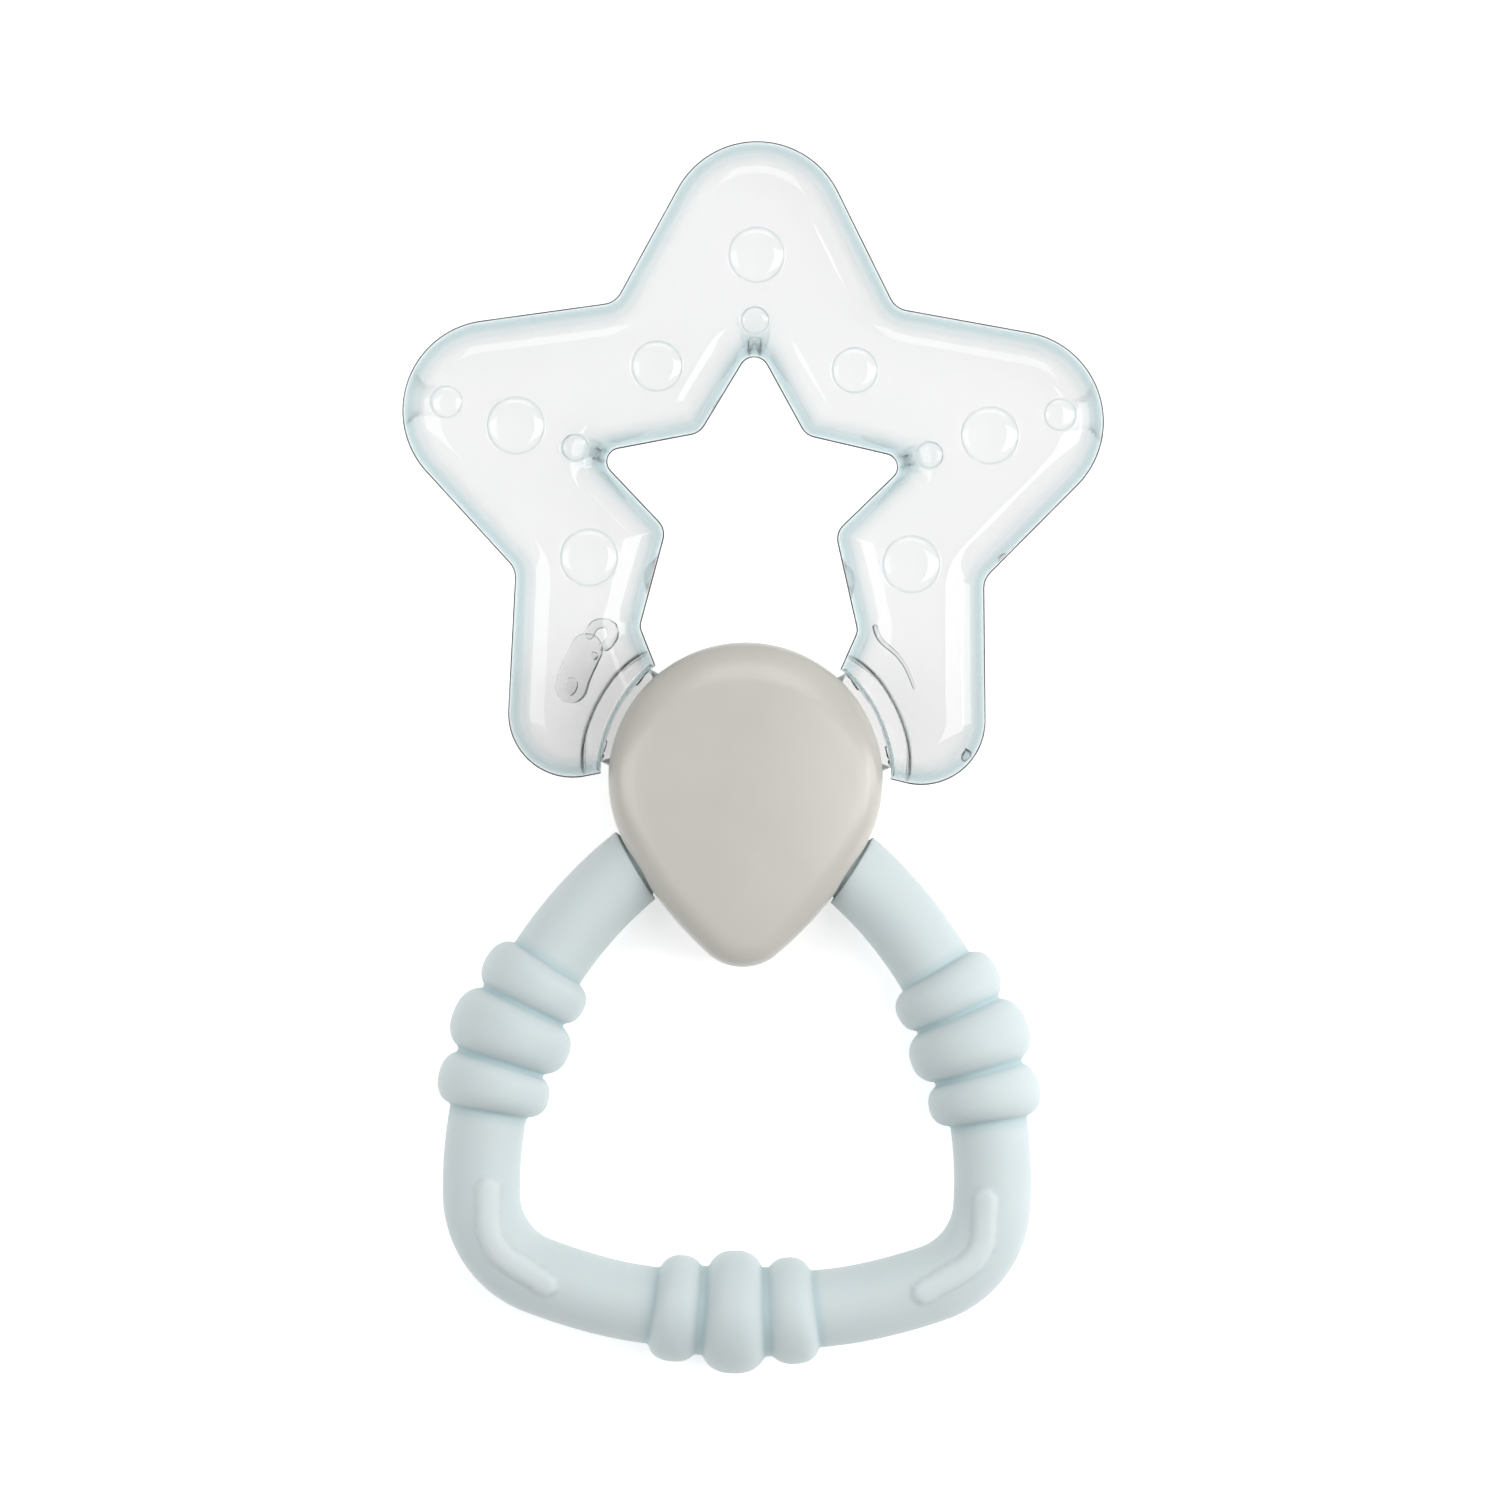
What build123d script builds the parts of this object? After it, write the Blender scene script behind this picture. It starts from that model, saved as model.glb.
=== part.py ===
from build123d import *
import os
from math import cos, radians, sin, sqrt

# A water-filled star on a drop-shaped joiner with a soft grip ring, lying on its back.
# +Z points out of the front, +Y to the star's top arm. The origin is on the plane that the
# object rests on, under the middle of its outline. Left and right are mirror images.

# Driving dimensions, mm
PARTING_Z = 7.25  # height of the plane that parts the two faces
CLEAR = 0.15  # room around a moulding in the opening that holds it

# Star: five round-ended arms about one centre, the lower two cut short by the joiner
STAR_Y = 30.15
ARM_REACH = 31.9  # star centre to the centre of an arm's round end
ARM_R = 10.7
ARM_HALF_ANGLE = 27.5  # each side of an arm against its axis
ARM_PITCH = 72.0
VALLEY_R = 2.5
LEG_CORNER = (28.4, -5.8)  # where the leg's straight outer edge and its end would meet
LEG_END_R = 8.6
LEG_INSIDE = [(10.0, -0.6), (8.6, 6.5)]  # under the joiner
WINDOW_POINTS = [(12.75, 14.8), (9.9, 26.35), (18.5, 35.05), (6.2, 37.65), (0.0, 48.4)]
WINDOW_RADII = [1.2, 2.3, 1.5, 2.3, 1.7]
STAR_HALF = 6.4  # half of the star's thickness
STAR_EDGE_R = 4.5
STAR_WALL = 1.2
STAR_ROOM_EDGE_R = 3.2
JOINER_GAP = 0.9  # from the leg's end to the joiner

# Round bumps that stand out of both faces: x, y, radius
BUMP_HEIGHT = 0.8
BUMP_ROOT = 1.1  # how far a bump's straight foot sinks into the wall
CENTRE_BUMPS = [(0.0, 58.65, 3.3), (0.0, 50.95, 1.65)]
SIDE_BUMPS = [
    (27.8, 38.05, 3.4),
    (36.0, 40.65, 1.9),
    (20.8, 35.6, 1.6),
    (11.8, 45.35, 2.8),
    (18.9, 22.75, 3.4),
]

# Tongue of each leg, which the joiner holds, with a filling port and its stopper
TONGUE_ANGLE = 27.0  # its axis above the X axis
TONGUE_WIDTH = 12.4
TONGUE_HALF = 2.5
TONGUE_START = 18.0  # distances from the joiner's centre
TONGUE_TIP = 10.2
LIP_LENGTH = 1.6
LIP_PROUD = 0.9
PORT_R = 1.2
PORT_END = 19.0
PLUG_LENGTH = 4.0
PLUG_HEAD_R = 2.0
PLUG_HEAD = 0.8

# Joiner: a round head that runs down to a blunt tip
JOINER_Y = -2.92
HEAD_R = 16.12
FLANK_R = 45.0
TIP_R = 6.04
HEAD_END = -27.5  # direction in which the head's arc ends and the flank's begins
FLANK_END = -48.8
JOINER_FRONT = 7.5  # the front stands this far above the parting plane
JOINER_WALL = 2.0
JOINER_EDGE_R = 3.0
CROWN_R = 150.0
RIM_LIP = 0.8  # height of the step that keys one cover into the other
PIN_R = 1.5
PIN_DEPTH = 4.0  # how far the front cover's pins reach past the parting plane
SOCKET_R = 2.7
SEAT_RIBS = [0.0, 7.5, -7.5]  # plates that hold the ring inside the joiner
SEAT_RIB = 1.6
SEAT_RIB_SPAN = (-16.5, -1.5)
PINS = [(0.0, 7.6), (4.2, 1.6), (-4.2, 1.6), (0.0, -17.6)]

# Handle: a closed ring of round bar, as four pairs of tangent arcs from the bottom up
BAR_R = 4.5
BOTTOM_Y = -65.8  # middle of the bar at the bottom of the ring
BOTTOM_R = 68.27
BOTTOM_TURN = 19.88
CORNER_R = 10.31
CORNER_TURN = 67.66
SIDE_R = 48.4
TOP_R = 18.0

# Beads: width along the bar, radius, and where they are on it
SMALL_BEAD = (5.7, 6.25)
LARGE_BEAD = (7.2, 7.2)
BEAD_CORE_R = 5.3
BOTTOM_BEAD_Y = -65.55
BOTTOM_BEADS = [(-6.75, SMALL_BEAD), (0.0, LARGE_BEAD), (6.75, SMALL_BEAD)]
SIDE_BEADS = [
    (24.35, -27.65, 21.7, SMALL_BEAD),
    (27.0, -33.35, 18.6, LARGE_BEAD),
    (28.75, -39.65, 16.5, SMALL_BEAD),
]

# Ribs on both faces of the lower corners
RIB_R = 1.2
RIB_PROUD = 0.6
RIB_POINTS = [(29.2, -51.6), (29.1, -58.35), (22.2, -62.65)]
RIB_BEND_R = 5.5


def polar(centre, radius, degrees):
    """The point at this radius and direction from a centre."""
    return (
        centre[0] + radius * cos(radians(degrees)),
        centre[1] + radius * sin(radians(degrees)),
    )


def mirrored(points):
    """The points of the other half, in the order that closes a loop."""
    return [(-x, y) for x, y in reversed(points)]


os.makedirs("parts", exist_ok=True)

# ---- Outlines ---------------------------------------------------------------

# The joiner's outline is three tangent arcs on each side.
head_centre = (0.0, JOINER_Y)
flank_centre = polar(head_centre, HEAD_R - FLANK_R, HEAD_END)
flank_start = polar(flank_centre, FLANK_R, HEAD_END)
flank_middle = polar(flank_centre, FLANK_R, (HEAD_END + FLANK_END) / 2)
flank_stop = polar(flank_centre, FLANK_R, FLANK_END)
tip_centre = polar(flank_centre, FLANK_R - TIP_R, FLANK_END)
joiner_tip = (0.0, tip_centre[1] - TIP_R)

with BuildSketch() as joiner_outline:
    with BuildLine():
        ThreePointArc((0.0, JOINER_Y + HEAD_R), polar(head_centre, HEAD_R, 30), flank_start)
        ThreePointArc(flank_start, flank_middle, flank_stop)
        ThreePointArc(flank_stop, polar(tip_centre, TIP_R, -70), joiner_tip)
        mirror(about=Plane.YZ)
    make_face()

with BuildSketch() as joiner_surround:
    add(joiner_outline.sketch)
    offset(amount=JOINER_GAP)

with BuildSketch() as joiner_cavity:
    add(joiner_outline.sketch)
    offset(amount=-JOINER_WALL)

with BuildSketch() as joiner_step:
    add(joiner_outline.sketch)
    offset(amount=-JOINER_WALL / 2)

# The star's outline is one loop: out round the arms and back round the window.
star_centre = (0.0, STAR_Y)
arm_apex = ARM_REACH + ARM_R / sin(radians(ARM_HALF_ANGLE))
valley_reach = arm_apex * sin(radians(ARM_HALF_ANGLE)) / sin(radians(ARM_PITCH / 2 + ARM_HALF_ANGLE))
right_side = [
    polar(star_centre, valley_reach, 90 - ARM_PITCH / 2),
    polar(star_centre, arm_apex, 90 - ARM_PITCH),
    polar(star_centre, valley_reach, 90 - 1.5 * ARM_PITCH),
    LEG_CORNER,
    *LEG_INSIDE,
    *WINDOW_POINTS[:-1],
]
right_radii = [VALLEY_R, ARM_R, VALLEY_R, LEG_END_R, 0.5, 0.5, *WINDOW_RADII[:-1]]
star_top = polar(star_centre, arm_apex, 90)
star_loop = [star_top, *right_side, WINDOW_POINTS[-1], *mirrored(right_side)]
star_radii = [ARM_R, *right_radii, WINDOW_RADII[-1], *reversed(right_radii)]

with BuildSketch() as star_outline:
    with BuildLine():
        FilletPolyline(*star_loop, radius=star_radii, close=True)
    make_face()
    add(joiner_surround.sketch, mode=Mode.SUBTRACT)

with BuildSketch() as star_cavity:
    add(star_outline.sketch)
    offset(amount=-STAR_WALL)

# The tongues lie across the joiner's wall; the port runs along the middle of each.
tongue_planes = [
    Plane(origin=(0, JOINER_Y, PARTING_Z), x_dir=(cos(radians(a)), sin(radians(a)), 0))
    for a in (TONGUE_ANGLE, 180 - TONGUE_ANGLE)
]


def rounded_half(sketch, height, edge_r):
    """A solid that stands on the parting plane, with its top edges rounded."""
    with BuildPart() as half:
        with BuildSketch(Plane.XY.offset(PARTING_Z)):
            add(sketch)
        extrude(amount=height)
        fillet(half.faces().sort_by(Axis.Z)[-1].edges(), edge_r)
    return half.part


# ---- Handle ring ------------------------------------------------------------

bottom_centre = (0.0, BOTTOM_Y + BOTTOM_R)
bottom_stop = polar(bottom_centre, BOTTOM_R, -90 + BOTTOM_TURN)
corner_centre = polar(bottom_centre, BOTTOM_R - CORNER_R, -90 + BOTTOM_TURN)
side_start_angle = -90 + BOTTOM_TURN + CORNER_TURN
side_start = polar(corner_centre, CORNER_R, side_start_angle)
side_centre = polar(corner_centre, CORNER_R - SIDE_R, side_start_angle)
top_centre_y = side_centre[1] + sqrt((SIDE_R - TOP_R) ** 2 - side_centre[0] ** 2)
top_scale = SIDE_R / (SIDE_R - TOP_R)
top_start = (
    side_centre[0] * (1 - top_scale),
    side_centre[1] + (top_centre_y - side_centre[1]) * top_scale,
)
top_middle = (0.0, top_centre_y + TOP_R)

with BuildLine(Plane.XY.offset(PARTING_Z)) as ring_path:
    RadiusArc((0.0, BOTTOM_Y), bottom_stop, -BOTTOM_R)
    RadiusArc(bottom_stop, side_start, -CORNER_R)
    RadiusArc(side_start, top_start, -SIDE_R)
    RadiusArc(top_start, top_middle, -TOP_R)


def ring_bar(radius):
    """The plain bar of the ring, at any radius, for the ring itself and for its seats."""
    with BuildPart() as bar:
        with BuildSketch(Plane(origin=(0, BOTTOM_Y, PARTING_Z), z_dir=(1, 0, 0))):
            Circle(radius)
        sweep(path=ring_path.line)
        mirror(about=Plane.YZ)
    return bar.part


def bead_group(planes_and_beads):
    """Round-edged discs on the bar, each with its plane's X along the bar."""
    with BuildPart() as group:
        for plane, (width, radius) in planes_and_beads:
            with BuildSketch(plane):
                with BuildLine():
                    flat = radius - width / 2
                    Polyline((-width / 2, flat), (-width / 2, 0), (width / 2, 0), (width / 2, flat))
                    ThreePointArc((width / 2, flat), (0, radius), (-width / 2, flat))
                make_face()
            revolve(axis=Axis(plane.origin, plane.x_dir))
    return group.part


def bead_plane(x, y, turn):
    """A plane in the middle of a bead, with X along the bar at this direction."""
    return Plane(origin=(x, y, PARTING_Z), x_dir=(cos(radians(turn)), sin(radians(turn)), 0))


def bead_core(start, stop):
    """The thicker bar that fills the valleys between the beads of a group."""
    along = Vector(*stop, 0) - Vector(*start, 0)
    with BuildPart() as core:
        with BuildSketch(Plane(origin=(*start, PARTING_Z), z_dir=along)):
            Circle(BEAD_CORE_R)
        extrude(amount=along.length)
    return core.part


def corner_rib(side):
    """A raised rib with round ends along the middle of a lower corner, on one face."""
    height = PARTING_Z + side * (BAR_R + RIB_PROUD - RIB_R)
    with BuildPart() as rib:
        with BuildLine(Plane.XY.offset(height)) as path:
            FilletPolyline(*RIB_POINTS, radius=RIB_BEND_R)
        start = path.line @ 0
        stop = path.line @ 1
        with BuildSketch(Plane(origin=start, z_dir=path.line % 0)):
            Circle(RIB_R)
        sweep(path=path.line)
        with Locations(start, stop):
            Sphere(RIB_R)
    return rib.part


bottom_beads = bead_group([(bead_plane(x, BOTTOM_BEAD_Y, 0), bead) for x, bead in BOTTOM_BEADS])
side_beads = bead_group([(bead_plane(x, y, 90 + lean), bead) for x, y, lean, bead in SIDE_BEADS])

with BuildPart() as handle_ring:
    add(ring_bar(BAR_R))
    add(bottom_beads)
    add(side_beads)
    add(side_beads.mirror(Plane.YZ))
    add(bead_core((BOTTOM_BEADS[0][0], BOTTOM_Y), (BOTTOM_BEADS[-1][0], BOTTOM_Y)))
    for first, second in zip(SIDE_BEADS, SIDE_BEADS[1:]):
        core = bead_core(first[:2], second[:2])
        add(core)
        add(core.mirror(Plane.YZ))
    for side in (1, -1):
        rib = corner_rib(side)
        add(rib)
        add(rib.mirror(Plane.YZ))

handle_ring.part.label = "handle_ring"
export_step(handle_ring.part, "parts/handle_ring.step")

# ---- Star -------------------------------------------------------------------


def tongue_halves(clearance):
    """The front halves of the two tongues and their lips, grown by a clearance for their seats."""
    with BuildPart() as tongues:
        for plane in tongue_planes:
            with BuildSketch(plane):
                with Locations(((TONGUE_START + TONGUE_TIP) / 2, 0)):
                    Rectangle(TONGUE_START - TONGUE_TIP, TONGUE_WIDTH + 2 * clearance)
            extrude(amount=TONGUE_HALF + clearance)
            with BuildSketch(plane):
                with Locations((TONGUE_TIP + LIP_LENGTH / 2, 0)):
                    Rectangle(
                        LIP_LENGTH + 2 * clearance,
                        TONGUE_WIDTH + 2 * (LIP_PROUD + clearance),
                    )
            extrude(amount=TONGUE_HALF + LIP_PROUD + clearance)
    return tongues.part


def port_rods(start, stop):
    """Round rods along the two ports, between two distances from the joiner's centre."""
    with BuildPart() as rods:
        for plane in tongue_planes:
            section = Plane(origin=plane.origin + plane.x_dir * start, z_dir=plane.x_dir)
            with BuildSketch(section):
                Circle(PORT_R)
            extrude(amount=stop - start)
    return rods.part


def bump_domes():
    """Shallow domes that stand out of the front of the star."""
    root = STAR_HALF - BUMP_ROOT
    rise = BUMP_HEIGHT + BUMP_ROOT
    places = CENTRE_BUMPS + SIDE_BUMPS + [(-x, y, r) for x, y, r in SIDE_BUMPS]
    with BuildPart() as domes:
        for x, y, r in places:
            with BuildSketch(Plane.XY.offset(PARTING_Z + root)):
                with Locations((x, y)):
                    Circle(r)
            extrude(amount=rise)
        fillet(domes.faces().filter_by(Axis.Z).group_by(Axis.Z)[-1].edges(), BUMP_HEIGHT)
    return domes.part


parting_plane = Plane.XY.offset(PARTING_Z)
star_skin = rounded_half(star_outline.sketch, STAR_HALF, STAR_EDGE_R)
star_room = rounded_half(star_cavity.sketch, STAR_HALF - STAR_WALL, STAR_ROOM_EDGE_R)

with BuildPart() as star_front_shell:
    add(star_skin)
    add(bump_domes())
    add(tongue_halves(0))
    add(star_room, mode=Mode.SUBTRACT)
    add(port_rods(TONGUE_TIP - 1, PORT_END), mode=Mode.SUBTRACT)

star_front_shell.part.label = "star_front_shell"
export_step(star_front_shell.part, "parts/star_front_shell.step")

with BuildPart() as star_back_shell:
    add(star_front_shell.part.mirror(parting_plane))

star_back_shell.part.label = "star_back_shell"
export_step(star_back_shell.part, "parts/star_back_shell.step")

with BuildPart() as star_water:
    add(star_room)
    add(star_room.mirror(parting_plane))
    add(port_rods(TONGUE_TIP + PLUG_LENGTH, PORT_END))

star_water.part.label = "star_water"
export_step(star_water.part, "parts/star_water.step")

for name, plane in zip(("fill_plug", "vent_plug"), tongue_planes):
    with BuildPart() as port_plug:
        with BuildSketch(Plane(origin=plane.origin + plane.x_dir * TONGUE_TIP, z_dir=plane.x_dir)):
            Circle(PORT_R)
        extrude(amount=PLUG_LENGTH)
        with BuildSketch(Plane(origin=plane.origin + plane.x_dir * TONGUE_TIP, z_dir=-plane.x_dir)):
            Circle(PLUG_HEAD_R)
        extrude(amount=PLUG_HEAD)
    port_plug.part.label = name
    export_step(port_plug.part, f"parts/{name}.step")

# ---- Joiner -----------------------------------------------------------------

ring_seat = ring_bar(BAR_R + CLEAR)

with BuildPart() as tongue_seat:
    add(tongue_halves(CLEAR))
    mirror(about=parting_plane)

with BuildSketch() as joiner_lip:
    add(joiner_outline.sketch)
    offset(amount=-JOINER_WALL / 2 - CLEAR)
    add(joiner_cavity.sketch, mode=Mode.SUBTRACT)

with BuildSketch() as joiner_ribs:
    rib_length = SEAT_RIB_SPAN[1] - SEAT_RIB_SPAN[0]
    with Locations([(x, SEAT_RIB_SPAN[0] + rib_length / 2) for x in SEAT_RIBS]):
        Rectangle(SEAT_RIB, rib_length)
    add(joiner_cavity.sketch, mode=Mode.INTERSECT)


def cover_block(height):
    """A cover's outer form, straight up from the parting plane, with its far edge rounded."""
    with BuildPart() as block:
        with BuildSketch(Plane.XY.offset(PARTING_Z)):
            add(joiner_outline.sketch)
        extrude(amount=height)
        if height > 0:
            with Locations((0, JOINER_Y, PARTING_Z + height - CROWN_R)):
                Sphere(CROWN_R, mode=Mode.INTERSECT)
        far = Axis.Z if height > 0 else -Axis.Z
        fillet(block.faces().sort_by(far)[-1].edges(), JOINER_EDGE_R)
    return block.part


def cover_shell(height):
    """A cover with its walls, posts and ribs, before the openings for the other pieces."""
    room = height - JOINER_WALL if height > 0 else height + JOINER_WALL
    with BuildPart() as shell:
        add(cover_block(height))
        with BuildSketch(Plane.XY.offset(PARTING_Z)):
            add(joiner_cavity.sketch)
        extrude(amount=room, mode=Mode.SUBTRACT)
        with BuildSketch(Plane.XY.offset(PARTING_Z)):
            add(joiner_ribs.sketch)
            with Locations(PINS):
                Circle(SOCKET_R)
        extrude(amount=room)
    return shell.part


with BuildPart() as joiner_front_cover:
    add(cover_shell(JOINER_FRONT))
    with BuildSketch(Plane.XY.offset(PARTING_Z)):
        add(joiner_lip.sketch)
    extrude(amount=-RIM_LIP)
    add(ring_seat, mode=Mode.SUBTRACT)
    add(tongue_seat.part, mode=Mode.SUBTRACT)
    with BuildSketch(Plane.XY.offset(PARTING_Z)):
        with Locations(PINS):
            Circle(PIN_R)
    extrude(amount=-PIN_DEPTH)

joiner_front_cover.part.label = "joiner_front_cover"
export_step(joiner_front_cover.part, "parts/joiner_front_cover.step")

with BuildPart() as joiner_back_cover:
    add(cover_shell(-PARTING_Z))
    with BuildSketch(Plane.XY.offset(PARTING_Z)):
        add(joiner_step.sketch)
        add(joiner_cavity.sketch, mode=Mode.SUBTRACT)
    extrude(amount=-RIM_LIP - CLEAR, mode=Mode.SUBTRACT)
    with BuildSketch(Plane.XY.offset(PARTING_Z)):
        with Locations(PINS):
            Circle(PIN_R + CLEAR / 2)
    extrude(amount=-PIN_DEPTH - CLEAR, mode=Mode.SUBTRACT)
    add(ring_seat, mode=Mode.SUBTRACT)
    add(tongue_seat.part, mode=Mode.SUBTRACT)

joiner_back_cover.part.label = "joiner_back_cover"
export_step(joiner_back_cover.part, "parts/joiner_back_cover.step")
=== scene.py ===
import math

import bmesh
import bpy
import numpy as np
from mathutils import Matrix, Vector
from mathutils.geometry import delaunay_2d_cdt


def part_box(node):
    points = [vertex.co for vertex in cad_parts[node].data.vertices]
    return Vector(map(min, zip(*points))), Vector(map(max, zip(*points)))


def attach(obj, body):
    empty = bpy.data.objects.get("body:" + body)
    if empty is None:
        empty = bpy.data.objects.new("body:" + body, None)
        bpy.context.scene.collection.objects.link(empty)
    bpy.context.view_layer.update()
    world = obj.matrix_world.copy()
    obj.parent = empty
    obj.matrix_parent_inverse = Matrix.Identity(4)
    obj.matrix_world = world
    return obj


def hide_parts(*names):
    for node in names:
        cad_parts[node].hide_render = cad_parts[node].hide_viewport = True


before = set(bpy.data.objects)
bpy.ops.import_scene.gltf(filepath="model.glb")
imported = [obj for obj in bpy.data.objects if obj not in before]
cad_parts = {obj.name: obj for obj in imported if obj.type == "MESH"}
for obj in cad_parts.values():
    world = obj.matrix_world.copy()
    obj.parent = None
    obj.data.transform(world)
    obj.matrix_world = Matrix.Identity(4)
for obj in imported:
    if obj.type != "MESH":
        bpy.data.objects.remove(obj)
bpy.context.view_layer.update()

# Looks of a water-filled star teether with a grip ring, lying on its back, front up.
# Outlines are worked out in millimetres in the frame's own axes, and meshes are made in metres.

MM = 0.001
STEP = 0.42  # spacing of points along an outline

# ---- Heights from the frame ---------------------------------------------------

star_low, star_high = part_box("star_back_shell")[0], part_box("star_front_shell")[1]
joiner_low, joiner_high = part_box("joiner_back_cover")[0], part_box("joiner_front_cover")[1]
PARTING_Z = (star_low.z + star_high.z) / 2 / MM
STAR_TOP_Y = star_high.y / MM
JOINER_TOP_Y = joiner_high.y / MM

# ---- Star dimensions, mm ------------------------------------------------------

ARM_REACH = 31.9
ARM_R = 10.7
ARM_HALF_ANGLE = 27.5
ARM_PITCH = 72.0
STAR_Y = STAR_TOP_Y - ARM_REACH - ARM_R
VALLEY_R = 2.5
TOP_SLIM = 0.3  # small departures from an even star
TOP_DROP = 0.55
LOW_FULL = 0.6
LEG_CORNER = (28.4, -5.1)
LEG_END_R = 7.6
WINDOW_POINTS = [(12.75, 14.8), (9.9, 26.35), (18.5, 35.05), (6.2, 37.65), (0.0, 48.4)]
WINDOW_RADII = [1.6, 2.3, 1.5, 2.3, 1.7]
LEG_END_DIRECTIONS = (1.2, 50.5)  # of the leg's end corners, seen from the joiner's centre
LEG_END_RADII = (0.15, 0.2)
LEG_PLACE = 5  # where the legs' hidden ends come in the loop of corners
END_EDGE = 0.55  # width of the shoulder at a leg's end
END_WALL = 2.2
END_SLACK = 0.035
END_ARC = 0.98  # radius of a leg's hollow end over that of the circle it follows
JOINER_GAP = 0.9
STAR_HALF = 6.4
STAR_EDGE = 5.0  # width of the rounded shoulder
STAR_POWER = 2.3
STAR_WALL = 1.15
ROOM_TIP_R = 1.3
SEAM_PROUD = 0.14
SEAM_HALF = 0.2
TONGUE_ANGLE = 27.0
TONGUE_HALF_WIDTH = 6.2
TONGUE_HALF = 2.4
TONGUE_EDGE = 0.8
TONGUE_REACH = 13.0  # the tongue's hidden end, from the joiner's centre
TONGUE_OUT = 20.0  # and its other end, inside the leg
BUMP_HEIGHT = 0.75
BACK_BUMP_POWER = 2.0
BUMPS = [
    (0.0, 58.65, 3.3),
    (0.0, 50.95, 1.65),
    (27.8, 38.05, 3.4),
    (-27.8, 38.05, 3.4),
    (36.0, 40.65, 1.9),
    (-36.0, 40.65, 1.9),
    (20.8, 35.6, 1.6),
    (-20.8, 35.6, 1.6),
    (11.8, 45.35, 2.7),
    (-11.4, 45.35, 3.0),
    (18.9, 22.75, 3.4),
    (-18.9, 22.75, 3.4),
]

# ---- Joiner dimensions, mm ----------------------------------------------------

HEAD_R = 16.12
FLANK_R = 45.0
TIP_R = 6.04
HEAD_END = -27.5
FLANK_END = -48.8
JOINER_Y = JOINER_TOP_Y - HEAD_R
JOINER_WALL = 2.0
FRONT_HEIGHT = joiner_high.z / MM - PARTING_Z
BACK_HEIGHT = PARTING_Z - joiner_low.z / MM
SIDE_HEIGHT = 3.7  # a cover's straight side, before its rounded edge
FRONT_CROWN = 1.25
COVER_POWER = 2.1
RIM_CHAMFER = 0.14
CEILING_STEP = 0.6
SEAT_CLEAR = 0.12
SEAT_FLARE = 0.55
SEAT_FLARE_DEPTH = 0.9
SLOT_CLEAR = 0.2

# ---- Handle dimensions, mm ----------------------------------------------------

BAR_R = 4.5
BOTTOM_Y = -65.8
BOTTOM_R = 68.27
BOTTOM_TURN = 19.88
BOTTOM_LIFT = 0.25  # the bar is a little straighter under the bottom beads
BOTTOM_LIFT_REACH = 11
CORNER_R = 10.31
CORNER_TURN = 67.66
SIDE_R = 48.4
TOP_R = 18.0
SMALL_BEAD = (5.7, 6.25)  # width along the bar, radius
LARGE_BEAD = (7.2, 7.2)
BEAD_CORE_R = 5.2
BEAD_FILLET = 0.14
BEAD_POWER = 2.4  # a little squarer than a full round
BOTTOM_BEADS = [(-6.75, SMALL_BEAD), (0.0, LARGE_BEAD), (6.75, SMALL_BEAD)]
SIDE_BEADS = [
    (24.35, -27.5, (5.9, 6.45)),
    (27.0, -33.35, LARGE_BEAD),
    (28.75, -39.65, (5.9, 6.6)),
]
RIB_POINTS = [(29.2, -51.6), (29.1, -58.35), (22.2, -62.65)]
RIB_BEND_R = 5.5
RIB_HALF_WIDTH = 1.35
RIB_PROUD = 0.6
HOLLOW_REACH = 1.5
HOLLOW_DEPTH = 0.8


# ---- Outlines -----------------------------------------------------------------


def polar(centre, radius, degrees):
    angle = math.radians(degrees)
    return (centre[0] + radius * math.cos(angle), centre[1] + radius * math.sin(angle))


def direction(degrees):
    return np.array(polar((0, 0), 1, degrees))


def arc_points(centre, radius, start, stop, step=STEP):
    """Points along an arc between two directions in degrees, without its last one."""
    count = max(2, math.ceil(abs(math.radians(stop - start)) * radius / step))
    turns = np.linspace(start, stop, count, endpoint=False)
    return np.array([polar(centre, radius, t) for t in turns])


def unit(v):
    return v / np.linalg.norm(v)


def rounded_corner(before, corner, after, radius):
    """The arc that rounds a corner, from its first tangent point to its last."""
    u = unit(before - corner)
    v = unit(after - corner)
    half = math.acos(np.clip(u @ v, -1, 1)) / 2
    if radius <= 0 or half < 1e-6:
        return np.array([corner])
    centre = corner + unit(u + v) * radius / math.sin(half)
    first = corner + u * radius / math.tan(half) - centre
    last = corner + v * radius / math.tan(half) - centre
    start = math.atan2(first[1], first[0])
    turn = (math.atan2(last[1], last[0]) - start + math.pi) % (2 * math.pi) - math.pi
    count = max(3, math.ceil(abs(turn) * radius / STEP), math.ceil(abs(turn) / 0.2))
    angles = start + turn * np.linspace(0, 1, count + 1)
    return centre + radius * np.stack([np.cos(angles), np.sin(angles)], 1)


def rounded_loop(corners, radii, closed=True):
    """Points along straight runs whose corners are rounded by tangent arcs."""
    corners = np.array(corners, float)
    count = len(corners)
    pieces = []
    for i, radius in enumerate(radii):
        if closed or 0 < i < count - 1:
            arc = rounded_corner(corners[i - 1], corners[i], corners[(i + 1) % count], radius)
        else:
            arc = corners[i : i + 1]
        if pieces:
            pieces.append(between(pieces[-1][-1], arc[0]))
        pieces.append(arc)
    if closed:
        pieces.append(between(pieces[-1][-1], pieces[0][0]))
    return np.vstack(pieces)


def between(a, b):
    """Points on a straight run, without its two ends."""
    count = max(1, round(np.linalg.norm(b - a) / STEP))
    shares = np.linspace(0, 1, count + 1)[1:-1, None]
    return a + (b - a) * shares


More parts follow.
